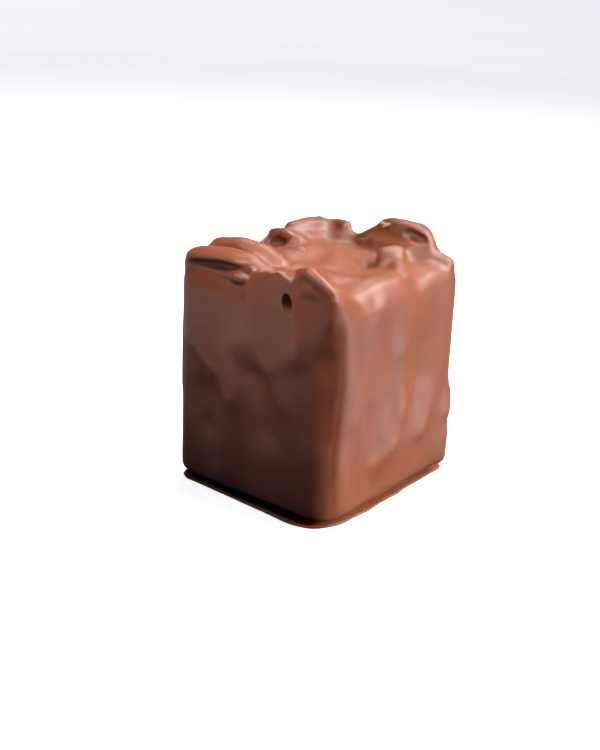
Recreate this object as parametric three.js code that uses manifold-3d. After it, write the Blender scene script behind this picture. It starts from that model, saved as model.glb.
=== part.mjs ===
// A praline: one bite-sized block under a coat of milk chocolate, with almond sticks lying under
// the coat of its top, and the thin foot that the wet chocolate ran into where it was set down.
// The coat is one closed skin. Rays are cast inwards from all round the block, and each stops
// where it meets a field that adds up the block, the almonds, the hollows and the runs.
// Millimetres, +Z up. The origin is on the surface that the praline stands on, near the block's
// middle. The front face looks along -Y and the right face along +X.

import * as THREE from 'three';
import Module from 'manifold-3d';
import { mergeVertices } from 'three/addons/utils/BufferGeometryUtils.js';

const wasm = await Module();
wasm.setup();

// ---- Driving dimensions, mm ----
const BLOCK = { left: -11.8, right: 12, front: -13, back: 12.5 };
const HEIGHT = 27.4; // to the coat at the edges of the top
const CORNER_RADIUS = 3.0; // the upright corners
const RIM_RADIUS = 1.6; // the edge between the walls and the top
const UNDERCUT_RADIUS = 1.1; // the walls' lower edge, which curls in above the foot
const FLOOR = { left: 0.85, right: 1.55 }; // where that lower edge ends, at either side
const BLEND = 0.8; // how far the coat runs into the corner beside an almond
const SWELL = { x: -3, y: 1, reachX: 6.5, reachY: 7.5, rise: 0.9 }; // the top's low dome

const FOOT = { left: -11.9, right: 11.1, front: -12.3, back: 12.4 };
const FOOT_CORNERS = [0.9, 4.4, 3.4, 2.6]; // radii: front left, front right, rear right, rear left
const FOOT_EDGE = 0.35; // the foot's thickness at its outer edge
const FOOT_TOP = 0.5; // where the foot meets the groove under the walls
const GROOVE = { depth: 1.4, low: 0.6, gap: 0.1 }; // it ends by that gap below the walls
const FOOT_WOBBLE = 0.12; // how far its poured edge strays
const FOOT_LOBE = { y: -5.6, halfWidth: 2.2, out: 0.35 }; // a lobe of its right edge

const AIR_HOLE = { x: 5.3, z: 26.1, halfWidth: 0.62, halfHeight: 1.12, depth: 3.0 };

const SIDE_CELLS = 32; // mesh cells along each side of the block
const RAY_START = 7; // how far outside the block each ray begins
const RAY_STEPS = 48;
const EVENED_ABOVE = 24.5; // above this height the mesh is evened out after the casting
const EVENING_PASSES = 10;

// Almond sticks under the coat of the top: [end, other end, radius with its coat].
const ALMONDS = [
  [[-9.8, -11.3, 27.6], [-2.4, -11.6, 28.1], 1.3], // along the front edge, left
  [[-9.6, -7.7, 28.4], [-4.4, -7.6, 28.8], 1.1], // behind it
  [[-4.4, -7.6, 28.5], [0.4, -7.4, 27.6], 0.9], // its low end
  [[0.8, -11.9, 27.6], [4.0, -12.0, 27.6], 1.05], // the edge above the air hole
  [[6.9, -11.8, 28.5], [8.2, -11.8, 28.5], 1.2], // along the front edge, right
  [[8.2, -11.8, 28.5], [11.1, -11.6, 27.2], 1.15],
  [[-8.3, 0.7, 28.8], [-6.9, 0.1, 28.9], 0.85], // hood at the left
  [[-4.6, -1.4, 28.2], [-2.4, -1.2, 28.1], 0.7],
  [[-8.4, 3.9, 29.2], [-8.2, 8.0, 28.6], 1.05], // left edge, rear
  [[-8.2, 8.0, 28.6], [-8.0, 9.4, 28.9], 0.85],
  [[-7.4, 10.6, 28.5], [-5.5, 10.4, 28.8], 1.1], // rear edge
  [[-2.6, 9.8, 27.5], [2.0, 10.4, 30.1], 1.1], // the pile at the rear right
  [[2.0, 10.4, 30.1], [4.6, 10.3, 29.9], 1.35],
  [[4.6, 10.3, 29.9], [7.0, 9.6, 29.2], 1.3],
  [[7.0, 9.6, 28.8], [8.1, 8.9, 27.0], 1.25],
  [[0.5, 10.8, 27.4], [6.2, 10.6, 27.4], 2.0],
  [[-0.4, 6.5, 28.0], [2.4, 7.4, 28.2], 0.9],
  [[4.6, 7.0, 28.0], [7.4, 7.2, 28.3], 0.8],
  [[6.7, 2.9, 28.5], [9.2, 0.9, 28.2], 1.1], // slanting to the right edge
  [[9.2, 0.9, 28.2], [11.2, -1.0, 26.7], 1.0],
];

// Hollows pressed into the top: [centre, radius].
const HOLLOWS = [
  [[-7.2, -1.7, 28.5], 0.8],
  [[-3.2, -2.5, 28.5], 0.7],
  [[-1.4, 6.0, 28.6], 0.6],
  [[6.0, 8.0, 30.0], 0.8],
  [[5.4, -12.9, 28.9], 0.65],
  [[3.0, 2.6, 30.6], 3.2],
];

// Runs and dents in the walls: [face, place along it, height, place along it, height, half width, rise].
// The place is x on the front and rear faces, and y on the left and right faces.
const RUNS = [
  ['front', -0.2, 28.5, 0.4, 22.0, 1.6, 0.3],
  ['front', 6.3, 24.6, 7.4, 20.8, 0.7, 0.35],
  ['front', 7.3, 20.6, 3.4, 18.2, 0.6, 0.22],
  ['front', 3.3, 17.6, 6.2, 9.0, 0.8, 0.3],
  ['front', -9.0, 18.6, -2.4, 13.4, 0.8, 0.28],
  ['front', -2.3, 13.2, -2.6, 5.0, 0.9, 0.3],
  ['front', -0.6, 21.0, 0.2, 17.6, 0.8, 0.25],
  ['front', 1.2, 16.5, 2.5, 10.0, 1.2, -0.4],
  ['front', -6.4, 12.6, -5.9, 8.6, 0.8, -0.35],
  ['front', -6.0, 25.6, -5.0, 22.0, 2.2, -0.35],
  ['front', 10.6, 20.4, 10.8, 19.2, 1.2, -0.35],
  ['front', 10.8, 16.2, 11.0, 15.2, 1.1, -0.3],
  ['front', -12.2, 8.0, -12.3, 3.0, 1.6, 0.3],
  ['right', -8.8, 19.0, -8.5, 12.5, 0.8, 0.3],
  ['right', -0.8, 23.0, -1.2, 8.0, 0.9, 0.3],
  ['right', 3.0, 19.0, 3.6, 12.5, 1.3, -0.4],
  ['right', 4.4, 7.6, 6.6, 11.4, 0.6, 0.35],
  ['right', -4.6, 5.6, -1.0, 9.6, 0.8, 0.3],
  ['right', -5.2, 13.0, -4.4, 4.0, 1.0, -0.25],
  ['right', 11.8, 27.0, 12.2, 17.0, 2.2, -0.45],
  ['right', 10.6, 9.2, 11.4, 10.8, 1.5, 0.85],
  ['right', 10.8, 2.6, 11.0, 5.8, 1.5, 0.7],
];
const HIDDEN_RUNS = 12; // more runs on each face that is out of sight
const SEED = 29;

// ---- Small helpers ----
const clamp = (value, low, high) => Math.min(Math.max(value, low), high);

function seededRandom(seed) {
  let state = seed;
  return () => {
    state = (state * 16807) % 2147483647;
    return state / 2147483647;
  };
}

// The lesser of two distances, rounded over by a fillet of about the given size.
function smoothMin(a, b, size) {
  const share = Math.max(size - Math.abs(a - b), 0) / size;
  return Math.min(a, b) - share * share * size * 0.25;
}

// Distance from a point to a segment, in two or three dimensions.
function toSegment(point, start, end) {
  let along = 0;
  let length2 = 0;
  for (let i = 0; i < point.length; i++) {
    along += (point[i] - start[i]) * (end[i] - start[i]);
    length2 += (end[i] - start[i]) ** 2;
  }
  const t = clamp(along / length2, 0, 1);
  let distance2 = 0;
  for (let i = 0; i < point.length; i++) {
    distance2 += (point[i] - start[i] - t * (end[i] - start[i])) ** 2;
  }
  return Math.sqrt(distance2);
}

// ---- The field: negative inside the praline, positive outside ----
function hiddenRuns() {
  const random = seededRandom(SEED);
  const runs = [];
  for (const face of ['rear', 'left']) {
    for (let i = 0; i < HIDDEN_RUNS; i++) {
      const place = -10 + (20 * (i + random())) / HIDDEN_RUNS;
      const top = 12 + 13 * random();
      const rise = (random() < 0.6 ? 1 : -1) * (0.22 + 0.2 * random());
      const low = top - 4 - 6 * random();
      runs.push([face, place, top, place + 3 * (random() - 0.5), low, 0.8 + 0.6 * random(), rise]);
    }
  }
  return runs;
}

const ALL_RUNS = [...RUNS, ...hiddenRuns()];

// The level where the walls' lower edge ends, which climbs from the left side to the right.
function floorLevel(x) {
  const share = clamp((x - BLOCK.left) / (BLOCK.right - BLOCK.left), 0, 1);
  return FLOOR.left + share * (FLOOR.right - FLOOR.left);
}

// How far the walls stand out at a point because of the runs, fading round the corners.
function wallRise(x, y, z) {
  const faces = {
    front: [x, BLOCK.front - y],
    rear: [x, y - BLOCK.back],
    right: [y, x - BLOCK.right],
    left: [y, BLOCK.left - x],
  };
  let rise = 0;
  for (const [face, place0, z0, place1, z1, halfWidth, height] of ALL_RUNS) {
    const [place, outside] = faces[face];
    const distance = toSegment([place, z], [place0, z0], [place1, z1]) / halfWidth;
    rise += height * Math.exp(-distance * distance) * clamp(1.6 + outside / 2.5, 0, 1);
  }
  return rise;
}

// The level of the coat between the almonds.
function topLevel(x, y) {
  const away2 = ((x - SWELL.x) / SWELL.reachX) ** 2 + ((y - SWELL.y) / SWELL.reachY) ** 2;
  return HEIGHT + SWELL.rise * Math.exp(-away2);
}

function blockDistance(x, y, z) {
  const qx = Math.max(BLOCK.left - x, x - BLOCK.right) + CORNER_RADIUS;
  const qy = Math.max(BLOCK.front - y, y - BLOCK.back) + CORNER_RADIUS;
  const wall =
    Math.hypot(Math.max(qx, 0), Math.max(qy, 0)) + Math.min(Math.max(qx, qy), 0) - CORNER_RADIUS;
  const risen = wall - wallRise(x, y, z);
  const ends = [
    [z - topLevel(x, y), RIM_RADIUS],
    [floorLevel(x) - z, UNDERCUT_RADIUS],
  ];
  return Math.max(
    ...ends.map(([end, radius]) => {
      const a = risen + radius;
      const b = end + radius;
      return Math.min(Math.max(a, b), 0) + Math.hypot(Math.max(a, 0), Math.max(b, 0)) - radius;
    }),
  );
}

function coatDistance(x, y, z) {
  let distance = blockDistance(x, y, z);
  for (const [start, end, radius] of ALMONDS) {
    distance = smoothMin(distance, toSegment([x, y, z], start, end) - radius, 2 * BLEND);
  }
  for (const [[cx, cy, cz], radius] of HOLLOWS) {
    distance = -smoothMin(-distance, Math.hypot(x - cx, y - cy, z - cz) - radius, BLEND);
  }
  return distance;
}

// Follows a ray inwards and returns the point where it first meets the coat.
function meetCoat(from, direction) {
  const point = from.map((value, i) => value + RAY_START * direction[i]);
  for (let step = 0; step < RAY_STEPS; step++) {
    const distance = 0.8 * coatDistance(...point);
    point.forEach((value, i) => {
      point[i] = value - distance * direction[i];
    });
  }
  return point;
}

// ---- Outlines: a rounded rectangle, sampled at SIDE_CELLS places a side ----
// Place i runs anticlockwise and begins in the middle of the front left corner. Each place has
// a point and the outline's outward direction there.
function outlinePoint(i, { left, right, front, back }, radii) {
  const side = Math.floor(i / SIDE_CELLS) % 4;
  const first = radii[side];
  const second = radii[(side + 1) % 4];
  const straight = (side % 2 ? back - front : right - left) - first - second;
  const firstArc = (first * Math.PI) / 4;
  const secondArc = (second * Math.PI) / 4;
  const run = ((i % SIDE_CELLS) / SIDE_CELLS) * (firstArc + straight + secondArc);
  const before = Math.max(firstArc - run, 0) / first;
  const after = Math.max(run - firstArc - straight, 0) / second;
  const radius = before > 0 ? first : second;
  const angle = after - before; // 0 on the straight stretch
  const along = first + clamp(run - firstArc, 0, straight) + radius * Math.sin(angle);
  const inset = radius * (1 - Math.cos(angle));
  const [cornerX, cornerY, dx, dy] = [
    [left, front, 1, 0],
    [right, front, 0, 1],
    [right, back, -1, 0],
    [left, back, 0, -1],
  ][side];
  return {
    x: cornerX + dx * along - dy * inset,
    y: cornerY + dy * along + dx * inset,
    nx: dx * Math.sin(angle) + dy * Math.cos(angle),
    ny: dy * Math.sin(angle) - dx * Math.cos(angle),
  };
}

// A place on the block's outline, moved inwards by the rim's radius: where each ray ends up.
function rayBase(i) {
  const p = outlinePoint(i, BLOCK, Array(4).fill(CORNER_RADIUS));
  return { ...p, x: p.x - RIM_RADIUS * p.nx, y: p.y - RIM_RADIUS * p.ny };
}

// ---- Rings of the skin, from the foot's underside up to the rim ----
const PLACES = 4 * SIDE_CELLS;

function footRing(inset, z) {
  return Array.from({ length: PLACES }, (_, i) => {
    const turn = (2 * Math.PI * i) / PLACES;
    const stray = Math.sin(5 * turn + 1) + 0.7 * Math.sin(11 * turn + 2.3) + 0.5 * Math.sin(19 * turn);
    const p = outlinePoint(i, FOOT, FOOT_CORNERS);
    const lobe = Math.exp(-(((p.y - FOOT_LOBE.y) / FOOT_LOBE.halfWidth) ** 4)) * Math.max(p.nx, 0);
    const out = FOOT_WOBBLE * stray + FOOT_LOBE.out * lobe - inset;
    return [p.x + out * p.nx, p.y + out * p.ny, z];
  });
}

// The groove's upper ring, just under the walls' lower edge.
function grooveRing(inset) {
  return footRing(inset, 0).map(([x, y]) => [x, y, floorLevel(x) - GROOVE.gap]);
}

// A ring of the walls, at a share of the way from the floor's level to the rim.
function wallRing(share) {
  return Array.from({ length: PLACES }, (_, i) => {
    const p = rayBase(i);
    const low = floorLevel(p.x);
    return meetCoat([p.x, p.y, low + share * (HEIGHT - RIM_RADIUS - low)], [p.nx, p.ny, 0]);
  });
}

// Rays fan out over the rim, from level at 0 to upright at a quarter turn.
function rimRing(angle) {
  return Array.from({ length: PLACES }, (_, i) => {
    const p = rayBase(i);
    const level = Math.cos(angle);
    return meetCoat([p.x, p.y, HEIGHT - RIM_RADIUS], [p.nx * level, p.ny * level, Math.sin(angle)]);
  });
}

function skinRings() {
  const rings = [
    footRing(0.12, 0),
    footRing(0, 0.15),
    footRing(0.08, FOOT_EDGE),
    footRing(GROOVE.depth - 0.3, FOOT_TOP),
    footRing(GROOVE.depth, GROOVE.low),
    grooveRing(GROOVE.depth - 0.2),
  ];
  for (const share of [0.004, 0.012, 0.026, 0.05]) rings.push(wallRing(share));
  const wallRows = 14;
  for (let row = 1; row <= wallRows; row++) {
    rings.push(wallRing(0.05 + (0.95 * row) / wallRows));
  }
  const rimRows = 8;
  for (let row = 1; row <= rimRows + 1; row++) {
    rings.push(rimRing((Math.PI / 2) * (row / (rimRows + 1))));
  }
  return rings;
}

// ---- The top: a square grid fitted inside the last ring, each point cast straight down ----
function topGrid() {
  const n = SIDE_CELLS;
  const edge = (i) => {
    const p = rayBase(i % PLACES);
    return [p.x, p.y];
  };
  const corner = [edge(0), edge(n), edge(2 * n), edge(3 * n)];
  const rows = [];
  for (let j = 1; j < n; j++) {
    const row = [];
    for (let i = 1; i < n; i++) {
      const u = i / n;
      const v = j / n;
      const place = [0, 1].map(
        (k) =>
          (1 - v) * edge(i)[k] + v * edge(3 * n - i)[k] + (1 - u) * edge(4 * n - j)[k] + u * edge(n + j)[k] -
          (1 - u) * (1 - v) * corner[0][k] - u * (1 - v) * corner[1][k] -
          u * v * corner[2][k] - (1 - u) * v * corner[3][k],
      );
      row.push(meetCoat([place[0], place[1], HEIGHT - RIM_RADIUS], [0, 0, 1]));
    }
    rows.push(row);
  }
  return rows;
}

// ---- The skin as one closed mesh ----
function skinGeometry(rings, grid) {
  const positions = [];
  const triangle = (a, b, c) => positions.push(...a, ...b, ...c);
  const quad = (a, b, c, d) => {
    triangle(a, b, c);
    triangle(a, c, d);
  };
  for (let r = 0; r + 1 < rings.length; r++) {
    for (let i = 0; i < PLACES; i++) {
      const next = (i + 1) % PLACES;
      quad(rings[r][i], rings[r][next], rings[r + 1][next], rings[r + 1][i]);
    }
  }
  const n = SIDE_CELLS;
  const last = rings[rings.length - 1];
  const at = (i, j) => {
    if (j === 0) return last[i];
    if (j === n) return last[3 * n - i];
    if (i === 0) return last[(4 * n - j) % PLACES];
    if (i === n) return last[n + j];
    return grid[j - 1][i - 1];
  };
  for (let j = 0; j < n; j++) {
    for (let i = 0; i < n; i++) quad(at(i, j), at(i + 1, j), at(i + 1, j + 1), at(i, j + 1));
  }
  for (let i = 0; i < PLACES; i++) triangle([0, 0, 0], rings[0][(i + 1) % PLACES], rings[0][i]);
  const geometry = new THREE.BufferGeometry();
  geometry.setAttribute('position', new THREE.Float32BufferAttribute(positions, 3));
  return mergeVertices(geometry, 1e-4);
}

// Moves a point straight down the field's slope until it lies on the coat.
function dropToCoat(point) {
  const step = 0.02;
  for (let pass = 0; pass < 3; pass++) {
    const slope = [0, 1, 2].map((k) => {
      const ends = [1, -1].map((side) => point.map((value, i) => value + (i === k ? side * step : 0)));
      return (coatDistance(...ends[0]) - coatDistance(...ends[1])) / (2 * step);
    });
    const steepness2 = Math.max(slope[0] ** 2 + slope[1] ** 2 + slope[2] ** 2, 0.2);
    const distance = clamp(coatDistance(...point), -0.5, 0.5);
    for (let i = 0; i < 3; i++) point[i] -= (distance * slope[i]) / steepness2;
  }
  return point;
}

// Evens out the mesh of the top: each vertex moves halfway to the middle of its neighbours,
// and from there back to the coat.
function evenOut(geometry) {
  const position = geometry.attributes.position;
  const index = geometry.index.array;
  const neighbours = Array.from({ length: position.count }, () => new Set());
  for (let i = 0; i < index.length; i++) {
    const first = i - (i % 3);
    for (let k = 0; k < 3; k++) neighbours[index[i]].add(index[first + k]);
  }
  const read = (v) => [position.getX(v), position.getY(v), position.getZ(v)];
  const movable = neighbours.map((_, v) => v).filter((v) => position.getZ(v) > EVENED_ABOVE);
  for (let pass = 0; pass < EVENING_PASSES; pass++) {
    const moved = movable.map((v) => {
      const around = [...neighbours[v]].map(read);
      const middle = [0, 1, 2].map((k) => around.reduce((sum, p) => sum + p[k], 0) / around.length);
      return dropToCoat(read(v).map((value, k) => (value + middle[k]) / 2));
    });
    movable.forEach((v, i) => position.setXYZ(v, ...moved[i]));
  }
  return geometry;
}

// ---- Boolean cuts ----
function toSolid(geometry) {
  const merged = geometry.clone();
  merged.deleteAttribute('normal');
  merged.deleteAttribute('uv');
  const shared = mergeVertices(merged, 1e-4);
  return new wasm.Manifold(
    new wasm.Mesh({
      numProp: 3,
      vertProperties: new Float32Array(shared.attributes.position.array),
      triVerts: new Uint32Array(shared.index.array),
    }),
  );
}

function toGeometry(solid) {
  const mesh = solid.getMesh();
  const geometry = new THREE.BufferGeometry();
  geometry.setAttribute('position', new THREE.BufferAttribute(mesh.vertProperties, 3));
  geometry.setIndex(new THREE.BufferAttribute(mesh.triVerts, 1));
  geometry.computeVertexNormals();
  return geometry;
}

// The burst air bubble in the front face: a blind pit with an upright oval mouth.
function airHole() {
  const pit = new THREE.SphereGeometry(1, 14, 10);
  pit.scale(AIR_HOLE.halfWidth, AIR_HOLE.depth, AIR_HOLE.halfHeight);
  pit.rotateY(0.18);
  pit.translate(AIR_HOLE.x, BLOCK.front, AIR_HOLE.z);
  return pit;
}

function pralineGeometry() {
  const skin = toSolid(evenOut(skinGeometry(skinRings(), topGrid())));
  return toGeometry(skin.subtract(toSolid(airHole())));
}

// ---- The object ----
const milkChocolate = new THREE.MeshStandardMaterial({
  name: 'milk_chocolate',
  color: 0x9a6250,
  roughness: 0.38,
  metalness: 0,
});

const praline = new THREE.Mesh(pralineGeometry(), milkChocolate);
praline.name = 'praline';

const object = new THREE.Group();
object.add(praline);

export default object;
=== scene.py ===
# %% [markdown]
# # A tall praline under milk chocolate
# The real sweet is a block of nut praline with almond sticks strewn over its top. A curtain of
# tempered milk chocolate is poured over it, runs down the walls, and sets as a satin coat that
# rounds off whatever lies beneath. Where the block was set down, a little of it ran out and set
# as a thin foot. This lesson builds the sweet the same way: the block, the sticks, the coat over
# both, then the hollows, the torn flap, the runs, the burst bubble, the foot and the bare almond.

# %% The frame
import bpy
import bmesh
import math
import numpy as np
from mathutils import Matrix, Vector


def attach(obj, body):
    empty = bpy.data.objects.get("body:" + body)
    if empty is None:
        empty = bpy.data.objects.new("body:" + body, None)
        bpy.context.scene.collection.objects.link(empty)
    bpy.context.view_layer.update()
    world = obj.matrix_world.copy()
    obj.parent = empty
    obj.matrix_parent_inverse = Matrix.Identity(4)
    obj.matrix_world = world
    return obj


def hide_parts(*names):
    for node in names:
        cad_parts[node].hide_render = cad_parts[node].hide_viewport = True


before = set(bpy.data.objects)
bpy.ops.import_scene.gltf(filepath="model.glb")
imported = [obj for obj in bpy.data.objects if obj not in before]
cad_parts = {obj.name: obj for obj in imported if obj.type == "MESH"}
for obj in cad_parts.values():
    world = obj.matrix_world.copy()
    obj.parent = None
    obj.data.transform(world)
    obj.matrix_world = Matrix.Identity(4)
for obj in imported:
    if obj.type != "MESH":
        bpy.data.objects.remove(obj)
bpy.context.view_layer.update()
MM = 0.001  # every size below is in millimetres until it meets this

# %% [markdown]
# ## The camera
# The sweet was photographed from close by, a little from above, with its front corner turned
# towards the lens. From so near, the verticals converge, so the distance matters as much as the
# angle. The camera could be placed by eye and nudged. Here it was worked out from the edges of
# the block: how far round it stands, how high, how far, and how much it is tilted in the hand.

# %% Camera
AZIMUTH, ELEVATION, ROLL = 38.7, 21.0, 2.8  # degrees
DISTANCE = 127.5  # mm
AIM = (-2.95, 0.0, 12.2)  # mm
LENS, SENSOR = 50, 36  # mm
NEAREST_SEEN = 5  # mm


def camera_axes():
    """Right, up and back of the camera, as unit vectors."""
    a, e, r = (math.radians(angle) for angle in (AZIMUTH, ELEVATION, ROLL))
    back = Vector((math.sin(a) * math.cos(e), -math.cos(a) * math.cos(e), math.sin(e)))
    right = Vector((0, 0, 1)).cross(back).normalized()
    up = back.cross(right)
    return math.cos(r) * right + math.sin(r) * up, math.cos(r) * up - math.sin(r) * right, back


def add_camera():
    """The camera, near the sweet and aimed a little left of its middle."""
    data = bpy.data.cameras.new("camera")
    data.lens, data.sensor_width, data.clip_start = LENS, SENSOR, NEAREST_SEEN * MM
    camera = bpy.data.objects.new("camera", data)
    bpy.context.scene.collection.objects.link(camera)
    right, up, back = camera_axes()
    turn = Matrix((right, up, back)).transposed().to_4x4()
    camera.matrix_world = Matrix.Translation((Vector(AIM) + DISTANCE * back) * MM) @ turn
    bpy.context.scene.camera = camera
    return camera


camera = add_camera()
print("camera at, mm:", [round(v / MM, 1) for v in camera.location])

# %% [markdown]
# ## Small tools
# Every step works on one object at a time, so a few helpers do what a modeller's hands do
# without thinking: pick an object, go into edit mode, pick edges or points by where they lie,
# and apply a modifier for good.

# %% Picking and applying


def pick(obj):
    """Makes obj the only selected object, and the active one."""
    bpy.ops.object.select_all(action="DESELECT")
    obj.select_set(True)
    bpy.context.view_layer.objects.active = obj


def pick_parts(obj, kind, wanted):
    """In edit mode, selects the verts, edges or faces whose corner points all pass the test."""
    bpy.ops.mesh.select_all(action="DESELECT")
    mesh = bmesh.from_edit_mesh(obj.data)
    for part in getattr(mesh, kind):
        corners = [part] if kind == "verts" else part.verts
        if wanted([corner.co / MM for corner in corners]):
            part.select_set(True)
    bmesh.update_edit_mesh(obj.data)


def finish_with(obj, kind, **settings):
    """Adds one modifier with its settings and applies it."""
    pick(obj)
    modifier = obj.modifiers.new(kind.lower(), kind)
    for name, value in settings.items():
        setattr(modifier, name, value)
    bpy.ops.object.modifier_apply(modifier=modifier.name)


def fuse(pieces, name):
    """Joins loose pieces into one object under one name."""
    pick(pieces[0])
    for piece in pieces:
        piece.select_set(True)
    bpy.ops.object.join()
    pieces[0].name = pieces[0].data.name = name
    return pieces[0]


# %% [markdown]
# ## The block
# The praline centre is cut from a slab, so it starts as a plain block. A cube could be rounded
# by a Bevel modifier, but its upright corners, its rim and its lower edge have three different
# radii. So the edges are picked by where they lie and bevelled in turn. The lower face
# slopes a little, because the coat hangs lower on the left side than on the right. A smaller
# block, the neck, goes down from there to the foot, and the gap around it is the dark line that
# shows between the coat and the foot.

# %% Block
BLOCK = dict(left=-11.8, right=12.0, front=-13.0, back=12.5, bottom=1.2, top=27.4)
CORNER, RIM, UNDERCUT = 3.0, 2.4, 0.75  # bevels: upright corners, upper rim, lower edge
FLOOR_CLIMB = 0.7  # how much higher the coat ends on the right side
CORNER_LEAN = (-0.35, -0.35, 0.0)  # the rear right corner leans in at its top
NECK = dict(bottom=0.2, top=4.0)
NECK_INSET = 2.8  # how far the neck stands back from the walls
NEAR = 0.01  # two places closer than this count as one


def add_cube(low, high):
    """A box between two corners, in edit mode, with its place in its mesh."""
    bpy.ops.object.select_all(action="DESELECT")
    bpy.ops.mesh.primitive_cube_add(
        size=1, location=(low + high) / 2 * MM, scale=(high - low) * MM
    )
    cube = bpy.context.object
    bpy.ops.object.transform_apply(location=True, rotation=True, scale=True)
    bpy.ops.object.mode_set(mode="EDIT")
    return cube


def is_upright(ends):
    """True for an edge that runs up a corner."""
    return abs(ends[0].z - ends[1].z) > 1


def add_block():
    """The rounded block under the coat."""
    low = Vector((BLOCK["left"], BLOCK["front"], BLOCK["bottom"]))
    high = Vector((BLOCK["right"], BLOCK["back"], BLOCK["top"]))
    block = add_cube(low, high)
    pick_parts(block, "faces", lambda pts: all(p.z < low.z + NEAR for p in pts))
    climb = math.atan(FLOOR_CLIMB / (high.x - low.x))
    hinge = (low.x * MM, 0, low.z * MM)
    bpy.ops.transform.rotate(value=climb, orient_axis="Y", center_override=hinge)
    pick_parts(block, "verts", lambda pts: (pts[0] - high).length < NEAR)
    bpy.ops.transform.translate(value=Vector(CORNER_LEAN) * MM)
    pick_parts(block, "edges", is_upright)
    bpy.ops.mesh.bevel(offset=CORNER * MM, segments=8)
    pick_parts(block, "edges", lambda pts: all(p.z > high.z - NEAR for p in pts))
    bpy.ops.mesh.bevel(offset=RIM * MM, segments=6)
    pick_parts(block, "edges", lambda pts: all(p.z < low.z + 1.5 * FLOOR_CLIMB for p in pts))
    bpy.ops.mesh.bevel(offset=UNDERCUT * MM, segments=4)
    bpy.ops.object.mode_set(mode="OBJECT")
    return block


def add_neck():
    """The coat that joins the block to the foot, well inside both outlines."""
    inset = Vector((NECK_INSET, NECK_INSET, 0))
    low = Vector((BLOCK["left"], BLOCK["front"], NECK["bottom"])) + inset
    high = Vector((BLOCK["right"], BLOCK["back"], NECK["top"])) - inset
    neck = add_cube(low, high)
    pick_parts(neck, "edges", is_upright)
    bpy.ops.mesh.bevel(offset=CORNER * MM, segments=6)
    bpy.ops.object.mode_set(mode="OBJECT")
    return neck


block = add_block()
neck = add_neck()
print("block:", len(block.data.vertices), "points, height mm", round(block.dimensions.z / MM, 2))

# %% [markdown]
# ## The almond sticks
# Slivered almonds are little bars, two or three millimetres thick, with blunt ends. They could
# be sculpted out of the top, but they are easier to place as separate bars that the coat then
# covers. Each is an eight-sided cylinder whose ends are drawn in, laid from one point to the
# next. Below some of them lie thicker sticks that carry them, as in the real heap.

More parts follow.
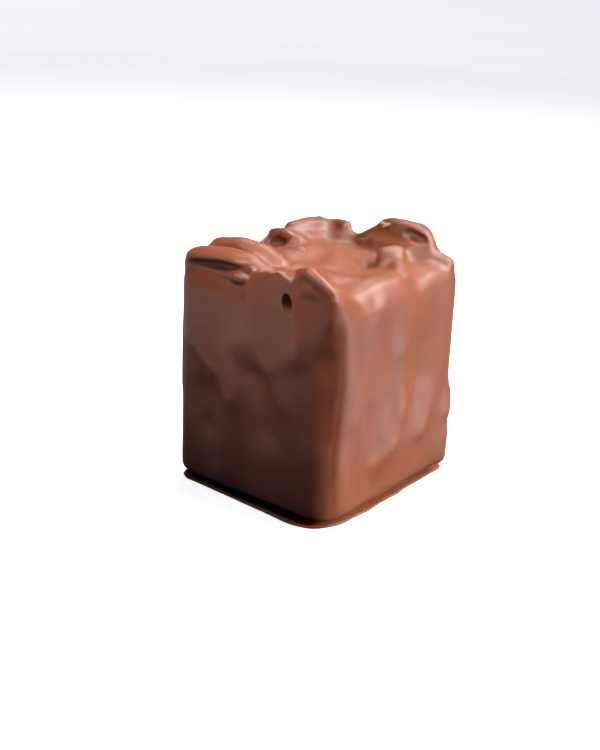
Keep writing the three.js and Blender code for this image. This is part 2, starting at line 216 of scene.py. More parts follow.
# %% Almond sticks
# [how flat, how far rolled in degrees, then the points (x, y, z, half width) that it joins]
ALMONDS = [
    # a broad flat one along the front edge, left, and what carries it
    (0.36, 15, (-9.05, -11.6, 28.3, 1.65), (-5.2, -11.65, 28.75, 1.8),
     (-2.2, -11.5, 28.88, 1.6), (-0.9, -11.0, 28.65, 1.1)),
    (0.9, 0, (-9.6, -10.6, 27.2, 1.0), (-1.0, -10.3, 27.6, 1.1)),
    (1.0, 0, (-10.2, -11.3, 26.9, 1.1), (-10.2, -9.6, 27.1, 1.1)),
    (1.0, 0, (-9.4, -11.9, 25.9, 1.1), (-4.0, -11.9, 26.0, 1.1),
     (-1.5, -11.85, 26.4, 1.15), (1.5, -11.9, 26.3, 1.1)),
    # the one behind it, and its low end
    (0.5, 8, (-9.0, -8.1, 28.95, 1.25), (-5.9, -8.0, 29.35, 1.4),
     (-3.0, -7.5, 29.05, 1.35), (-1.0, -7.0, 28.2, 1.1)),
    (0.9, 0, (-8.8, -7.8, 27.6, 1.1), (-1.0, -7.2, 27.6, 1.2)),
    # over the air hole, and what carries the crest that falls to the corner
    (1.0, 0, (0.9, -11.65, 27.0, 1.3), (4.8, -11.65, 27.3, 1.3)),
    (0.9, 0, (1.4, -9.6, 27.4, 1.3), (6.0, -9.6, 27.6, 1.3)),
    (1.0, 0, (6.4, -11.85, 27.7, 1.25), (7.9, -11.85, 27.8, 1.3),
     (9.3, -11.4, 27.2, 1.25), (10.4, -11.2, 26.5, 1.2)),
    (0.8, 0, (6.6, -10.4, 27.4, 1.3), (9.8, -10.2, 26.8, 1.3)),
    (1.0, 0, (6.0, -11.88, 26.0, 1.1), (10.0, -11.75, 25.4, 1.1)),
    (1.0, 0, (10.4, -11.7, 26.6, 1.1), (10.3, -11.8, 24.8, 1.15)),
    # the hood at the left
    (0.7, 0, (-8.7, 0.9, 28.8, 0.8), (-7.2, 1.1, 28.95, 0.85)),
    (0.8, 0, (-8.4, 1.9, 27.7, 1.1), (-6.4, 2.1, 27.8, 1.2)),
    # the left edge at the rear
    (0.6, 10, (-8.4, 4.0, 29.05, 1.1), (-8.2, 7.0, 29.2, 1.15),
     (-8.0, 9.0, 29.0, 1.1), (-7.9, 10.4, 28.2, 1.0)),
    (0.9, 0, (-8.5, 8.2, 29.2, 0.55), (-8.4, 9.3, 29.55, 0.35)),
    (0.9, 0, (-7.4, 4.8, 27.3, 1.6), (-7.2, 9.6, 27.0, 1.6)),
    # the rear edge
    (0.65, 0, (-6.7, 10.4, 28.95, 0.95), (-5.1, 10.3, 29.05, 0.9)),
    (1.0, 0, (-6.6, 9.6, 26.9, 1.7), (-4.8, 9.4, 26.9, 1.7)),
    # the pile at the rear right
    (0.75, 0, (-3.4, 10.0, 27.2, 0.9), (0.1, 10.1, 29.1, 1.2),
     (1.8, 10.0, 30.05, 1.5), (3.5, 9.9, 30.15, 1.65)),
    (0.75, 0, (3.5, 9.9, 30.15, 1.65), (6.1, 9.7, 29.95, 1.75),
     (7.3, 9.2, 29.3, 1.6), (8.2, 8.8, 27.8, 1.4)),
    (1.0, 0, (0.5, 10.8, 27.4, 2.0), (6.2, 10.6, 27.4, 2.0)),
    (0.8, 0, (1.4, 8.4, 28.0, 1.7), (6.2, 8.2, 28.1, 1.7)),
    (1.0, 0, (8.6, 9.6, 27.3, 1.3), (9.9, 10.0, 26.9, 1.3)),
    # the knob before it, and its tail that slants to the right edge
    (0.95, 0, (6.3, 2.8, 28.65, 1.0), (6.9, 4.2, 28.65, 1.15)),
    (0.9, 0, (7.4, 3.4, 27.8, 1.25), (9.8, 1.4, 26.6, 1.2)),
]
# small chips that were sprinkled last; they join the coat after its first smoothing, because it
# would melt them
CHIPS = [
    (0.8, 0, (-3.8, -1.1, 27.3, 0.45), (-3.1, -0.9, 27.4, 0.5)),  # beside the hood
    # a lump on the front wall
    (0.9, 0, (-5.5, -12.6, 26.8, 0.3), (-3.6, -12.65, 26.95, 0.45), (-2.3, -12.6, 27.1, 0.8)),
    (0.9, 0, (-2.3, -12.6, 27.1, 0.8), (-1.2, -12.45, 27.0, 0.75)),
    (0.6, 0, (4.4, 8.1, 28.95, 0.4), (5.8, 8.6, 28.95, 0.5)),  # a lip under the pile's hollow
    (0.9, 0, (-0.9, 7.9, 28.1, 0.45), (0.3, 8.1, 28.1, 0.5)),  # the small knob
    # the crest that falls to the corner
    (0.9, 0, (6.3, -12.15, 29.25, 0.72), (7.5, -12.15, 29.4, 0.85),
     (8.7, -12.1, 28.8, 0.8), (10.2, -11.8, 27.75, 0.75)),
    (0.9, 0, (10.5, -11.9, 27.0, 0.85), (10.45, -12.05, 25.3, 0.9)),  # the corner knob
]
STICK_SIDES = 8
# [how far out, how wide] of the two steps that draw in an end, in parts of the half width
END_STEPS = [(0.55, 0.86), (0.35, 0.55)]


def add_stick(flatness, roll, start, end):
    """One almond stick: a tapered, flattened cylinder with drawn-in ends between two points."""
    run = Vector(end[:3]) - Vector(start[:3])
    bpy.ops.object.select_all(action="DESELECT")
    bpy.ops.mesh.primitive_cone_add(
        vertices=STICK_SIDES, radius1=start[3] * MM, radius2=end[3] * MM, depth=run.length * MM
    )
    stick = bpy.context.object
    bpy.ops.object.mode_set(mode="EDIT")
    for side, radius in ((-1, start[3]), (1, end[3])):
        edge = run.length / 2 - NEAR
        pick_parts(stick, "faces", lambda pts: all(side * p.z > edge for p in pts))
        for reach, width in END_STEPS:
            bpy.ops.mesh.extrude_region_move()
            bpy.ops.transform.translate(value=(0, 0, side * reach * radius * MM))
            bpy.ops.transform.resize(value=(width, width, 1), center_override=(0, 0, 0))
    bpy.ops.object.mode_set(mode="OBJECT")
    lay = run.to_track_quat("Z", "Y").to_matrix().to_4x4()
    flat = Matrix.Rotation(math.radians(roll), 4, "Z") @ Matrix.Diagonal((1, flatness, 1, 1))
    stick.data.transform(Matrix.Translation((Vector(start[:3]) + run / 2) * MM) @ lay @ flat)
    return stick


def add_sticks(rows):
    """Every stick of every row."""
    made = []
    for flatness, roll, *points in rows:
        for start, end in zip(points, points[1:]):
            made.append(add_stick(flatness, roll, start, end))
    return made


sticks = add_sticks(ALMONDS)
print(len(sticks), "almond sticks")

# %% [markdown]
# ## The coat
# Poured chocolate fills every corner between the sticks and rounds every edge. The usual way to
# get that is to remesh everything into one skin and smooth it. Smoothing alone also melts the
# ridges, so the coat is first grown by about a millimetre, fused, and shrunk back: this
# fills the hollow corners and leaves the ridges standing. A light smoothing finishes it.

# %% Coat
VOXEL = 0.16  # mm, fine enough for the torn edge
COAT_FILL = 0.95  # how far the skin is grown and shrunk back
GROWN_SOFTENING, SHRUNK_SOFTENING = 12, 4  # smoothing passes


def reskin(obj):
    """Fuses all that the object holds into one even skin."""
    finish_with(obj, "REMESH", mode="VOXEL", voxel_size=VOXEL * MM)


def soften(obj, passes):
    """Evens out the skin, more with each pass."""
    finish_with(obj, "SMOOTH", factor=0.5, iterations=passes)


def pour_coat(parts):
    """One skin over all the parts, with filled corners and softened edges."""
    coat = fuse(parts, "coat")
    reskin(coat)
    finish_with(coat, "DISPLACE", strength=COAT_FILL * MM, mid_level=0)
    reskin(coat)
    soften(coat, GROWN_SOFTENING)
    finish_with(coat, "DISPLACE", strength=-COAT_FILL * MM, mid_level=0)
    reskin(coat)
    soften(coat, SHRUNK_SOFTENING)
    return coat


coat = pour_coat([block, neck] + sticks)
print("coat:", len(coat.data.polygons), "faces")

# %% [markdown]
# ## Hollows between the sticks
# Where sticks lie across each other, the coat bridges them and leaves dark hollows that reach in
# under the lumps. Dents can't do that, because they only lower a surface, so each hollow is a
# stretched sphere that a Boolean cuts away. Then the skin is renewed and smoothed once more, so
# the lips of the hollows come out round.

# %% Hollows
# [centre, half sizes, turn about z in degrees, lean about y in degrees]
HOLLOWS = [
    [(-5.6, -9.6, 29.35), (4.4, 0.38, 0.68), 1, -3],  # between the two front sticks
    [(-4.9, -13.6, 27.75), (4.9, 1.5, 0.78), 0, -5],  # under the front stick
    [(-7.5, -0.4, 28.0), (1.15, 1.8, 0.8), -25, 0],  # under the hood
    [(2.6, 8.0, 30.0), (0.6, 1.0, 0.5), 0, 0],  # under the bare chip
    [(6.6, 8.0, 30.0), (1.8, 1.3, 0.58), 0, 14],  # under the pile's crest
    [(-2.1, 7.5, 28.0), (0.4, 0.7, 0.6), 0, 0],  # pit beside the small knob
]


LIP_SOFTENING = 7  # smoothing passes over the hollows' lips


def add_ball(centre, sizes, turn, lean):
    """A stretched, turned sphere that cuts a hollow."""
    bpy.ops.object.select_all(action="DESELECT")
    bpy.ops.mesh.primitive_uv_sphere_add(segments=32, ring_count=20, radius=MM)
    ball = bpy.context.object
    turned = Matrix.Rotation(math.radians(turn), 4, "Z")
    leaned = Matrix.Rotation(math.radians(lean), 4, "Y")
    place = Matrix.Translation(Vector(centre) * MM)
    ball.data.transform(place @ turned @ leaned @ Matrix.Diagonal((*sizes, 1)))
    return ball


def cut(obj, cutter):
    """Takes the cutter's shape out of the object."""
    finish_with(obj, "BOOLEAN", operation="DIFFERENCE", object=cutter, solver="EXACT")
    bpy.data.objects.remove(cutter)


for row in HOLLOWS:
    cut(coat, add_ball(*row))
reskin(coat)
soften(coat, LIP_SOFTENING)
print(len(HOLLOWS), "hollows cut")

# %% [markdown]
# ## The flap
# Over the air hole the coat of the front wall stands up as a thin flap with a torn edge and a
# notch in it. The pouring step would have rounded it away, so it comes now, as a plate: a circle
# of points is pulled onto the flap's outline, as seen from the front, and extruded backwards. The
# small chips join the coat in the same step.

# %% Flap
# outline in the front view: (x, z), up the left side, along the torn edge, down the right side
FLAP_OUTLINE = [
    (-0.4, 24.4), (-0.2, 27.0), (0.1, 28.0), (0.7, 28.4), (1.5, 28.55), (2.3, 28.8),
    (2.9, 28.7), (3.6, 29.0), (4.1, 29.05), (4.5, 28.75), (5.1, 28.6), (5.4, 28.25),
    (5.65, 28.05), (5.9, 28.7), (6.2, 29.3), (6.6, 28.9), (6.9, 24.4),
]
FLAP_FRONT, FLAP_THICKNESS = -12.98, 0.88
FLAP_SOFTENING = 4  # few smoothing passes, so the torn edge stays crisp


def add_flap():
    """The plate with the torn edge and the notch."""
    bpy.ops.object.select_all(action="DESELECT")
    bpy.ops.mesh.primitive_circle_add(vertices=len(FLAP_OUTLINE), radius=MM, fill_type="NGON")
    flap = bpy.context.object
    for vertex, (x, z) in zip(flap.data.vertices, FLAP_OUTLINE):
        vertex.co = Vector((x, FLAP_FRONT, z)) * MM
    bpy.ops.object.mode_set(mode="EDIT")
    bpy.ops.mesh.select_all(action="SELECT")
    bpy.ops.mesh.extrude_region_move()
    bpy.ops.transform.translate(value=(0, FLAP_THICKNESS * MM, 0))
    bpy.ops.mesh.select_all(action="SELECT")
    bpy.ops.mesh.normals_make_consistent(inside=False)
    bpy.ops.object.mode_set(mode="OBJECT")
    return flap


coat = fuse([coat, add_flap()] + add_sticks(CHIPS), "coat")
reskin(coat)
soften(coat, FLAP_SOFTENING)
print("coat with its flap:", len(coat.data.polygons), "faces")

# %% [markdown]
# ## Runs, swells and dents
# While it sets, the coat sags into soft vertical runs, and knocks leave shallow dents. These
# could be painted as bump, but they catch the light at the walls' edges, so they are real relief.
# Each is a stroke between two points with a width and a height. A stroke's reach fades like a
# bell, and two Displace modifiers later push the raised strokes out and the sunk ones in.

# %% Strokes


def front(x, z):
    """A point on the front wall."""
    return (x, BLOCK["front"], z)


def right(y, z):
    """A point on the right wall."""
    return (BLOCK["right"], y, z)


# [one end, the other end, half width, rise], all in mm
STROKES = [
    # the top: its low dome, dents beside the sticks, and the soft right rim
    [(-3.6, -2.0, 27.6), (-3.4, 3.0, 27.6), 2.4, 0.5],
    [(-2.5, 1.0, 27.6), (1.5, 1.5, 27.6), 4.5, 0.3],
    [(2.6, -2.5, 27.6), (-0.9, 4.7, 27.6), 1.3, 0.25],
    [(0.3, -5.0, 27.6), (6.7, -5.1, 27.6), 1.1, 0.25],
    [(2.6, -7.0, 27.6), (10.0, -8.0, 27.4), 1.2, 0.2],
    [(3.0, 3.0, 27.6), (4.5, 0.5, 27.6), 1.6, -0.3],
    [(4.9, 1.7, 27.8), (5.4, 0.8, 27.8), 0.9, -0.3],
    [(10.4, 4.4, 27.6), (12.0, 2.5, 26.8), 1.2, -0.25],
    [(9.5, -3.4, 27.4), (9.9, -0.9, 27.4), 1.9, 0.45],
    [(7.4, -7.0, 27.5), (10.6, -8.3, 27.2), 1.2, -0.35],
    [(12.2, -7.5, 27.4), (12.2, 1.0, 27.4), 1.7, -0.35],
    # the front wall under the front stick, and the crease beside the flap
    [front(-8.5, 26.6), front(-4.0, 26.7), 1.1, -0.3],
    [front(-0.6, 27.6), front(-0.7, 25.4), 0.5, -0.12],
    # the front wall's runs
    [front(0.6, 24.5), front(0.4, 21.0), 1.8, 0.25],
    [front(6.2, 25.2), front(7.5, 22.5), 1.3, 0.34],
    [front(7.5, 22.0), front(7.2, 20.6), 1.3, 0.2],
    [front(7.0, 20.4), front(3.0, 18.1), 1.5, 0.27],
    [front(3.0, 18.0), front(5.0, 14.6), 1.5, 0.27],
    [front(-8.9, 18.5), front(-4.9, 16.3), 1.6, 0.3],
    [front(-4.9, 16.3), front(-2.2, 13.5), 1.6, 0.3],
    [front(-1.2, 19.7), front(-0.1, 18.8), 1.5, 0.25],
    [front(-2.2, 12.9), front(-2.8, 3.9), 1.7, 0.4],
    [front(1.2, 16.2), front(2.5, 10.7), 2.2, -0.5],
    [front(-6.4, 12.2), front(-6.0, 9.0), 2, -0.5],
    [front(10.8, 20.4), front(11.0, 19.2), 1.7, -0.43],
    [front(10.9, 16.2), front(11.1, 15.2), 1.7, -0.43],
    [front(10.9, 12.6), front(11.1, 11.8), 1.7, -0.34],
    # the right wall
    [right(-9.8, 25.6), right(-6.0, 26.0), 1.1, -0.25],
    [right(-8.8, 18.2), right(-8.5, 13.5), 1.6, 0.25],
    [right(-0.7, 23.1), right(-0.8, 19.6), 1.5, 0.22],
    [right(-0.8, 19.6), right(-0.1, 12.2), 1.6, 0.28],
    [right(-0.1, 12.2), right(-1.3, 8.8), 1.6, 0.28],
    [right(2.9, 18.7), right(4.0, 14.7), 1.8, -0.32],
    [right(4.0, 14.7), right(2.9, 12.5), 1.8, -0.32],
    [right(4.6, 8.2), right(6.3, 10.9), 1.6, 0.34],
    [right(-4.3, 6.7), right(-1.5, 7.6), 1.5, 0.28],
    [right(-5.2, 13.0), right(-4.4, 4.0), 1.8, -0.28],
    [right(10.6, 9.2), right(11.4, 10.8), 1.6, 0.6],
    [right(10.8, 2.6), right(11.0, 5.8), 1.6, 0.5],
]


LEAST_SHARE = 1e-3  # a point that moves less than this share of the most stays


def points_of(obj):
    """The object's points as an array, in millimetres."""
    points = np.empty(len(obj.data.vertices) * 3)
    obj.data.vertices.foreach_get("co", points)
    return points.reshape(-1, 3) / MM


def stroke_rise(points, strokes):
    """How far each point rises, summed over the strokes."""
    total = np.zeros(len(points))
    for start, end, half_width, rise in strokes:
        start, end = np.array(start, float), np.array(end, float)
        run = end - start
        along = np.clip((points - start) @ run / (run @ run), 0, 1)
        away = np.linalg.norm(points - start - along[:, None] * run, axis=1)
        total += rise * np.exp(-((away / half_width) ** 2))
    return total


def push(obj, rise):
    """Moves each point along its normal by its rise, in millimetres."""
    for name, side in (("raised", 1), ("sunk", -1)):
        reach = float((side * rise).max())
        group = obj.vertex_groups.new(name=name)
        for index in np.flatnonzero(side * rise > reach * LEAST_SHARE):
            group.add([int(index)], float(side * rise[index] / reach), "REPLACE")
        finish_with(obj, "DISPLACE", strength=side * reach * MM, mid_level=0, vertex_group=name)
        obj.vertex_groups.clear()


# %% [markdown]
# ## Random runs
# The strokes of the top and of the two walls that the camera sees were placed one by one. The
# other walls have runs too, but where they lie is up to chance, so a seeded generator draws them.
# It adds faint ones to the two front walls as well, which keeps all four alike.

# %% Random runs
RUNS_SEED = 11
LOWEST_RUN = 2.5
RUN_SOFTENING = 2
# [the axis that the wall faces along, where the wall is, from, to, number of runs, most rise]
WALLS = [
    (1, BLOCK["front"], -10, 10, 22, 0.08),
    (0, BLOCK["right"], -11, 10, 22, 0.09),
    (1, BLOCK["back"], -10, 10, 26, 0.26),
    (0, BLOCK["left"], -11, 10, 26, 0.26),
]


def on_wall(axis, where, along, height):
    """A point on a wall that faces along x (axis 0) or y (axis 1)."""
    return (where, along, height) if axis == 0 else (along, where, height)


def wall_runs():
    """Seeded upright strokes for all four walls."""
    rng = np.random.default_rng(RUNS_SEED)
    rows = []
    for axis, where, low, high, number, strength in WALLS:
        for _ in range(number):
            along, top = rng.uniform(low, high), rng.uniform(8, 26)
            length, sway = rng.uniform(3, 9), rng.normal(0, 0.8)
            start = on_wall(axis, where, along, top)
            end = on_wall(axis, where, along + sway, max(top - length, LOWEST_RUN))
            half_width = rng.uniform(0.9, 1.7)
            rise = strength * rng.choice([-1, 1]) * rng.uniform(0.5, 1)
            rows.append([start, end, half_width, rise])
    return rows


rise = stroke_rise(points_of(coat), STROKES + wall_runs())
push(coat, rise)
soften(coat, RUN_SOFTENING)
print("strokes rise from", round(rise.min(), 2), "to", round(rise.max(), 2), "mm")

# %% [markdown]
# ## The burst bubble
# A bubble of air burst through the front wall while the coat was setting and left a small upright
# hole. It is cut last, because its lip is crisper than anything the smoothing has touched: first
# the room behind the wall, then the hole into it. Then the Decimate modifier thins the mesh where
# it is nearly flat, and keeps it dense at the lumps.

# %% Air hole
# [centre, half sizes, turn about z in degrees, lean about y in degrees]
AIR_HOLE = [(5.35, BLOCK["front"], 25.85), (0.75, 2.6, 1.2), 0, -16]
BUBBLE = [(5.3, -9.6, 25.6), (1.9, 2.3, 2.0), 0, 0]  # the room behind the hole
MOST_TRIANGLES = 190000

for row in (BUBBLE, AIR_HOLE):
    cut(coat, add_ball(*row))
triangles = sum(len(face.vertices) - 2 for face in coat.data.polygons)
finish_with(coat, "DECIMATE", ratio=MOST_TRIANGLES / triangles)
print("coat with its hole:", len(coat.data.polygons), "faces, thinned from", triangles)

# %% [markdown]
# ## The foot
# Chocolate that ran down the walls collected where the sweet was set down and spread into a thin
# sheet. Its edge is about a third of a millimetre thick, too thin for the skin's voxels, so it is
# a mesh of its own. A circle with many points is pulled onto the outline, which is a box with
# rounded corners, a few tongues and small waves. It is extruded to the thickness of the edge and
# then inwards and up in small steps, so that it meets the neck under the block.

# %% Foot
FOOT = dict(left=-11.5, right=10.8, front=-12.3, back=12.8)
FOOT_CORNERS = dict(front_left=2.0, front_right=5.0, rear_right=1.8, rear_left=2.6)
FOOT_POINTS = 480
# [how far inside the outline, height] of the rings, from underneath over the rim to the neck
FOOT_RINGS = [
    (0.14, 0.0), (0.0, 0.09), (0.0, 0.24), (0.1, 0.34),
    (0.35, 0.38), (1.0, 0.48), (1.6, 0.7), (2.2, 0.9),
]
# [angle seen from above in degrees, half width in degrees, how far it stands out]
FOOT_TONGUES = [
    (-67, 9, 0.1), (-52, 5, 0.2), (-128, 1.6, 0.1), (-133, 1.2, 0.08), (-20, 10, 0.2),
    (12, 6, 0.15), (51, 4, 0.5), (105, 9, 0.3), (150, 8, 0.25), (-160, 5, 0.2),
]
FOOT_WAVES = (1, 2, 3, 5, 8, 13)  # how fine each wave of the rim is; finer ones are lower
WAVE_HEIGHT = 0.06


def corner_radius(x, y):
    """The outline's corner radius for the quarter that holds (x, y)."""
    side = "front" if y < 0 else "rear"
    return FOOT_CORNERS[f"{side}_{'left' if x < 0 else 'right'}"]


def foot_reach(angle):
    """How far the outline lies from the middle at an angle, found by halving."""
    way = Vector((math.cos(angle), math.sin(angle)))
    low, high = 0.0, 30.0  # surely inside, surely outside
    for _ in range(40):
        half = (low + high) / 2
        x, y = way * half
        radius = corner_radius(x, y)
        over_x = max(x - FOOT["right"], FOOT["left"] - x) + radius
        over_y = max(y - FOOT["back"], FOOT["front"] - y) + radius
        corner_reach = math.hypot(max(over_x, 0), max(over_y, 0))
        outside = corner_reach + min(max(over_x, over_y), 0) - radius
        low, high = (low, half) if outside > 0 else (half, high)
    degrees = math.degrees(angle)
    for centre, half_width, out in FOOT_TONGUES:
        away = (degrees - centre + 180) % 360 - 180
        high += out * math.exp(-((away / half_width) ** 2))
    waves = sum(math.sin(degrees * turns / 20 + turns) / turns for turns in FOOT_WAVES)
    return high + WAVE_HEIGHT * waves


def add_foot():
    """The thin sheet of chocolate that the praline stands on."""
    bpy.ops.object.select_all(action="DESELECT")
    bpy.ops.mesh.primitive_circle_add(vertices=FOOT_POINTS, radius=MM, fill_type="NGON")
    foot = bpy.context.object
    for vertex in foot.data.vertices:
        angle = math.atan2(vertex.co.y, vertex.co.x)
        reach = foot_reach(angle)
        vertex.co = Vector((math.cos(angle) * reach, math.sin(angle) * reach, 0)) * MM
    bpy.ops.object.mode_set(mode="EDIT")
    bpy.ops.mesh.select_all(action="SELECT")
    width, height = 1.0, 0.0
    for inside, ring_height in FOOT_RINGS:
        ring_width = 1 - inside / FOOT["right"]
        if ring_height > 0:
            bpy.ops.mesh.extrude_region_move()
        grow = ring_width / width
        bpy.ops.transform.resize(value=(grow, grow, 1), center_override=(0, 0, 0))
        bpy.ops.transform.translate(value=(0, 0, (ring_height - height) * MM))
        width, height = ring_width, ring_height
    bpy.ops.mesh.select_all(action="SELECT")
    bpy.ops.mesh.normals_make_consistent(inside=False)
    bpy.ops.object.mode_set(mode="OBJECT")
    foot.name = foot.data.name = "foot"
    return foot


foot = add_foot()
print("foot: size mm", [round(v / MM, 2) for v in foot.dimensions])

# %% [markdown]
# ## Bare chips
# In two places the almond shows bare: a broken chip at the crest of the rear pile, and the edge of
# one at the hood. They are made from three short sticks, rounded by a Subdivision Surface
# modifier and sunk into the coat so that only a little of them shows.

# %% Bare chips
BARE_CHIPS = [
    (0.7, 0, (1.45, 8.75, 30.6, 0.34), (2.1, 8.7, 30.5, 0.42)),
    (0.7, 20, (2.0, 8.5, 30.35, 0.3), (2.5, 8.6, 30.65, 0.28)),
    (0.8, 0, (-9.75, -0.1, 27.5, 0.34), (-9.3, 0.9, 28.4, 0.36)),
]
bare_chips = fuse(add_sticks(BARE_CHIPS), "bare_chips")
finish_with(bare_chips, "SUBSURF", levels=3)
print("bare chips:", len(bare_chips.data.polygons), "faces")

# %% [markdown]
# ## Smooth shading
# Chocolate has no facets. Smooth shading hides the small faces, and an angle keeps the few real
# edges, such as the lip of the air hole, crisp.

# %% Smooth shading
SHARP_FROM = 50  # degrees
for piece in (coat, foot, bare_chips):
    pick(piece)
    bpy.ops.object.shade_smooth_by_angle(angle=math.radians(SHARP_FROM))
print("smooth up to", SHARP_FROM, "degrees")

# %% [markdown]
# ## Helpers for the finishes
# Colours are easiest to note as sRGB hex values, but Blender's sockets hold linear light, so one
# function converts them. Another adds a node with its values and links. Patterns read Object
# coordinates, which are in metres here, so a third turns features per millimetre into a scale.

# %% Colours and nodes


def srgb(code):
    """An sRGB hex colour as the linear RGBA that Blender's sockets hold."""
    parts = [int(code[i : i + 2], 16) / 255 for i in (1, 3, 5)]
    linear = [c / 12.92 if c <= 0.04045 else ((c + 0.055) / 1.055) ** 2.4 for c in parts]
    return (*linear, 1.0)


def node(tree, kind, values=None, **links):
    """Adds a node, sets its inputs, and links those that take another node's output."""
    made = tree.nodes.new(kind)
    for name, value in (values or {}).items():
        made.inputs[name].default_value = value
    for name, output in links.items():
        tree.links.new(output, made.inputs[name.replace("_", " ")])
    return made


def per_mm(count):
    """A texture scale that gives so many features per millimetre."""
    return count / MM


def new_material(name):
    """An empty material, its node tree, and the place of each point on the piece."""
    material = bpy.data.materials.new(name)
    material.use_nodes = True
    tree = material.node_tree
    tree.nodes.clear()
    return material, tree, node(tree, "ShaderNodeTexCoord").outputs["Object"]


# %% [markdown]
# ## Milk chocolate
# The coat is tempered milk chocolate, poured on as a curtain. Milk chocolate is cocoa butter full
# of fine sugar, milk and cocoa: light enters it, scatters and comes out redder a fraction of a
# millimetre away, so thin edges glow. Tempered and poured, it sets with a satin gloss, faint
# ripples that run downwards, soft cloudy blotches, and here and there a speck of nut dust. A flat
# brown could pass from afar, but the ripples are what break up its reflections close by.

# %% Milk chocolate
DARK_BROWN, LIGHT_BROWN, NUT_DUST = "#7A4227", "#834B2E", "#B98057"
BLOTCHES = 0.22  # per mm: clouds about 4.5 mm wide
SPECK_CELLS = 0.62  # per mm: at most one speck in each cell of about 1.6 mm
RIPPLES = 0.9  # per mm: ripples about 1.1 mm wide and twice as long
RIPPLE_HEIGHT = 0.04  # mm
GLOW_DEPTH = 0.6  # mm that red light wanders inside; green and blue wander less


def milk_chocolate():
    """Tempered milk chocolate, poured: satin, a little translucent, softly blotched."""
    material, tree, place = new_material("milk_chocolate")
    cloud = node(
        tree,
        "ShaderNodeTexNoise",
        {"Scale": per_mm(BLOTCHES), "Detail": 4.0, "Roughness": 0.6},
        Vector=place,
    )
    blotch = node(
        tree,
        "ShaderNodeMapRange",
        {"From Min": 0.38, "From Max": 0.68, "To Max": 0.55},
        Value=cloud.outputs["Fac"],
    )
    colour = node(
        tree,
        "ShaderNodeMixRGB",
        {"Color1": srgb(DARK_BROWN), "Color2": srgb(LIGHT_BROWN)},
        Fac=blotch.outputs["Result"],
    )
    # some of the cells hold a speck, about 0.1 mm across
    cells = node(tree, "ShaderNodeTexVoronoi", {"Scale": per_mm(SPECK_CELLS)}, Vector=place)
    chosen = node(
        tree,
        "ShaderNodeMapRange",
        {"From Min": 0.58, "From Max": 0.6},
        Value=cells.outputs["Color"],
    )
    speck = node(
        tree,
        "ShaderNodeMapRange",
        {"From Min": 0.05, "From Max": 0.02},
        Value=cells.outputs["Distance"],
        To_Max=chosen.outputs["Result"],
    )
    dusted = node(
        tree,
        "ShaderNodeMixRGB",
        {"Color2": srgb(NUT_DUST)},
        Color1=colour.outputs["Color"],
        Fac=speck.outputs["Result"],
    )
    # the ripples of the pouring run downwards, so they are stretched along Z
    run = node(tree, "ShaderNodeMapping", {"Scale": (1, 1, 0.45)}, Vector=place)
    ripple = node(
        tree,
        "ShaderNodeTexNoise",
        {"Scale": per_mm(RIPPLES), "Detail": 5.0, "Roughness": 0.62},
        Vector=run.outputs["Vector"],
    )
    bump = node(
        tree,
        "ShaderNodeBump",
        {"Strength": 0.4, "Distance": RIPPLE_HEIGHT * MM},
        Height=ripple.outputs["Fac"],
    )
    gloss = node(
        tree,
        "ShaderNodeMapRange",
        {"To Min": 0.36, "To Max": 0.46},
        Value=ripple.outputs["Fac"],
    )
    shader = node(
        tree,
        "ShaderNodeBsdfPrincipled",
        {
            "IOR": 1.46,
            "Specular IOR Level": 0.54,
            "Subsurface Weight": 1.0,
            "Subsurface Scale": GLOW_DEPTH * MM,
            "Subsurface Radius": (1.0, 0.38, 0.2),
        },
        Base_Color=dusted.outputs["Color"],
        Roughness=gloss.outputs["Result"],
        Normal=bump.outputs["Normal"],
    )
    node(tree, "ShaderNodeOutputMaterial", Surface=shader.outputs["BSDF"])
    return material


# %% [markdown]
# ## Blanched almond
# The bare chips are slivered almond without its brown skin: pale, dry and roughly broken. It has
# no gloss to speak of, so a grain of two shades and a rough bump do the work.

# %% Blanched almond
ALMOND_SHADE, ALMOND_LIGHT = "#8F5F43", "#C4A68A"
ALMOND_GRAIN = 2.5  # per mm: grains about 0.4 mm wide
BREAK_DEPTH = 0.12  # mm, how rough the broken face is


def blanched_almond():
    """Blanched almond, broken: pale, dry and grainy."""
    material, tree, place = new_material("blanched_almond")
    grain = node(
        tree, "ShaderNodeTexNoise", {"Scale": per_mm(ALMOND_GRAIN), "Detail": 4.0}, Vector=place
    )
    colour = node(
        tree,
        "ShaderNodeMixRGB",
        {"Color1": srgb(ALMOND_SHADE), "Color2": srgb(ALMOND_LIGHT)},
        Fac=grain.outputs["Fac"],
    )
    bump = node(
        tree,
        "ShaderNodeBump",
        {"Strength": 0.8, "Distance": BREAK_DEPTH * MM},
        Height=grain.outputs["Fac"],
    )
    shader = node(
        tree,
        "ShaderNodeBsdfPrincipled",
        {"Roughness": 0.6, "IOR": 1.45},
        Base_Color=colour.outputs["Color"],
        Normal=bump.outputs["Normal"],
    )
    node(tree, "ShaderNodeOutputMaterial", Surface=shader.outputs["BSDF"])
    return material


# %% [markdown]
# ## Dressing the pieces
# Each piece gets its finish and is tied to the frame: it stands for the praline of the CAD model,
# takes its material slot, and moves with its one body.

# %% Dressing the pieces
chocolate, almond = milk_chocolate(), blanched_almond()
for piece, material in ((coat, chocolate), (foot, chocolate), (bare_chips, almond)):
    piece.data.materials.clear()
    piece.data.materials.append(material)
    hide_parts("praline")
    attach(piece, "root")
    print(piece.name, "is", material.name)

# %% [markdown]
# ## The stage
# The sweet was photographed on white, with no horizon. A plain floor would end in one, so a disc
# is extruded outwards and upwards in steps, as the paper curves up in a light tent. The paper
# glows a little, so it comes out white without lamps of its own. It is left out of the sweet's
# light and reflections, because a white floor all round would lift the dark front wall.

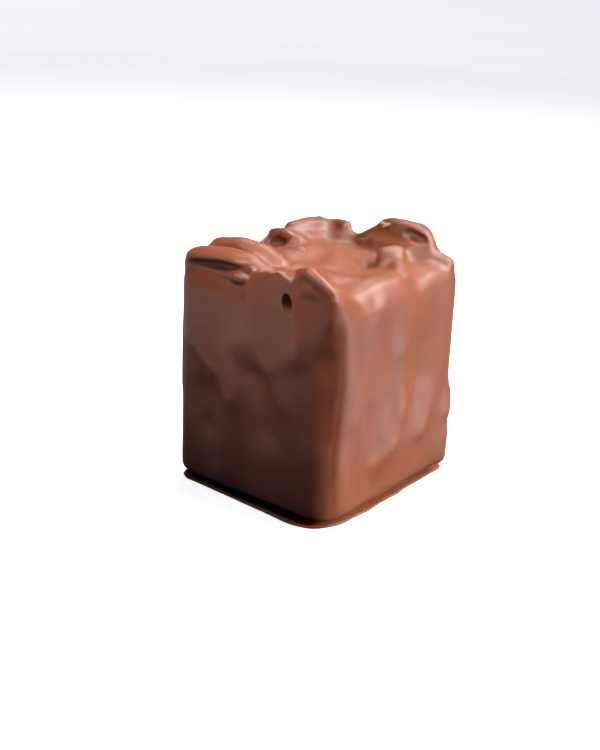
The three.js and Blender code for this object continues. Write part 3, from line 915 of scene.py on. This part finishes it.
# %% Stage
STAGE_RADIUS = 600
CURVE_STEPS = 8
CURVE_HEIGHT, CURVE_SPREAD = 160, 0.25  # how high, and how much wider than the disc
WALL_HEIGHT = 500
PAPER, PAPER_GLOW = "#E7E7E7", "#FFFFFF"


def paper_material():
    """White paper: matt, and lit through from behind."""
    material = bpy.data.materials.new("white_paper")
    material.use_nodes = True
    paper = material.node_tree.nodes["Principled BSDF"].inputs
    paper["Base Color"].default_value = srgb(PAPER)
    paper["Roughness"].default_value = 0.9
    paper["Emission Color"].default_value = srgb(PAPER_GLOW)
    paper["Emission Strength"].default_value = 0.8
    return material


def add_stage():
    """A pale floor that curves up into a round wall, as in a light tent."""
    bpy.ops.object.select_all(action="DESELECT")
    bpy.ops.mesh.primitive_circle_add(vertices=96, radius=STAGE_RADIUS * MM, fill_type="NGON")
    stage = bpy.context.object
    bpy.ops.object.mode_set(mode="EDIT")
    bpy.ops.mesh.select_mode(type="EDGE")
    pick_parts(stage, "edges", lambda pts: all(p.length > STAGE_RADIUS / 2 for p in pts))
    angles = [math.radians(90 * step / CURVE_STEPS) for step in range(CURVE_STEPS + 1)]
    for before, angle in zip(angles, angles[1:]):
        lift = CURVE_HEIGHT * (math.cos(before) - math.cos(angle))
        out = 1 + CURVE_SPREAD * (math.sin(angle) - math.sin(before))
        bpy.ops.mesh.extrude_edges_move()
        bpy.ops.transform.translate(value=(0, 0, lift * MM))
        bpy.ops.transform.resize(value=(out, out, 1), center_override=(0, 0, 0))
    bpy.ops.mesh.extrude_edges_move()
    bpy.ops.transform.translate(value=(0, 0, WALL_HEIGHT * MM))
    bpy.ops.object.mode_set(mode="OBJECT")
    stage.name = stage.data.name = "stage"
    stage.data.materials.append(paper_material())
    stage.visible_diffuse = stage.visible_glossy = stage.visible_shadow = False
    return stage


stage = add_stage()
print("stage: width m", round(stage.dimensions.x, 2))

# %% [markdown]
# ## The light
# The right wall and the top are bright and soft, and the front wall lies in shade that deepens
# downwards. So large softboxes stand at the right and behind, and only narrow beams, made by
# grids, reach the front wall, from high up. Lit cards on the floor throw the sheen from below
# that white cards would throw. All these lamps are white.

# %% Lamps
LAMP_DISTANCE = 300  # mm from the middle of the sweet
SWEET_MIDDLE = (0, 0, 14)
CARD_HEIGHT = 0.5  # mm above the floor


def direction(azimuth, elevation):
    """The way to a lamp: azimuth 0 is straight before the front wall, 90 the right wall."""
    a, e = math.radians(azimuth), math.radians(elevation)
    return Vector((math.sin(a) * math.cos(e), -math.cos(a) * math.cos(e), math.sin(e)))


def add_softbox(name, azimuth, elevation, size, power, aim=SWEET_MIDDLE, spread=180):
    """A square area light that faces the sweet; a small spread is a grid before it."""
    data = bpy.data.lights.new(name, "AREA")
    data.shape, data.size, data.energy = "SQUARE", size * MM, power
    data.spread = math.radians(spread)
    light = bpy.data.objects.new(name, data)
    place = Vector(SWEET_MIDDLE) + LAMP_DISTANCE * direction(azimuth, elevation)
    light.location = place * MM
    light.rotation_euler = (light.location - Vector(aim) * MM).to_track_quat("Z", "Y").to_euler()
    bpy.context.scene.collection.objects.link(light)


def add_card(name, azimuth, distance, size, power):
    """A lit card that lies on the floor and faces up, as a white card throws light from below."""
    data = bpy.data.lights.new(name, "AREA")
    data.shape, data.size, data.energy = "SQUARE", size * MM, power
    light = bpy.data.objects.new(name, data)
    light.location = (distance * direction(azimuth, 0) + Vector((0, 0, CARD_HEIGHT))) * MM
    light.rotation_euler = (math.pi, 0, math.radians(azimuth))
    light.visible_camera = False
    bpy.context.scene.collection.objects.link(light)


# [name, azimuth, elevation, size in mm, power in W, and for a grid its aim and its spread]
SOFTBOXES = [
    ("key", 120, 32, 115, 0.8),
    ("key high", 150, 52, 115, 0.78),
    ("top", 0, 90, 115, 0.08),
    ("high right", 120, 72, 115, 0.16),
    ("low right", 120, -8, 115, 0.22),
    ("low rear right", 150, -8, 115, 0.028),
    ("back", 210, 52, 115, 0.26),
    ("low left", 270, -8, 115, 0.04),
    ("key grid", 100, 25, 45, 0.01, (0, -8, -8), 14),
    ("corner grid", 40, 40, 45, 0.001, (0, -8, 38), 14),
    ("pile grid", 28, 50, 25, 0.0015, (4, 8, 31), 6),
    ("front grid left", 350, 60, 20, 0.0008, (-8, -13, 35), 6),
    ("front grid middle", 350, 60, 20, 0.0008, (0, -13, 35), 6),
    ("front grid right", 350, 60, 20, 0.0008, (8, -13, 35), 6),
]
# [name, azimuth, distance in mm, size in mm, power in W]
CARDS = [
    ("card left", 315, 95, 70, 0.016),
    ("card front", 345, 95, 70, 0.018),
    ("card right", 105, 45, 40, 0.006),
]

for row in SOFTBOXES:
    add_softbox(*row)
for row in CARDS:
    add_card(*row)
print(len(SOFTBOXES), "softboxes,", len(CARDS), "cards")

# %% [markdown]
# ## The light of the room
# What no lamp reaches still gets a little light from the room. It is cool, so the deepest shade
# at the foot turns slightly blue. The plain view transform shows colours as they are.

# %% The light of the room
ROOM_BLUE, ROOM_STRENGTH = "#3F6CDA", 0.09
world = bpy.data.worlds.new("studio")
world.use_nodes = True
room = world.node_tree.nodes["Background"].inputs
room["Color"].default_value = srgb(ROOM_BLUE)
room["Strength"].default_value = ROOM_STRENGTH
bpy.context.scene.world = world
bpy.context.scene.view_settings.view_transform = "Standard"
print("room light:", ROOM_BLUE, "at", ROOM_STRENGTH)
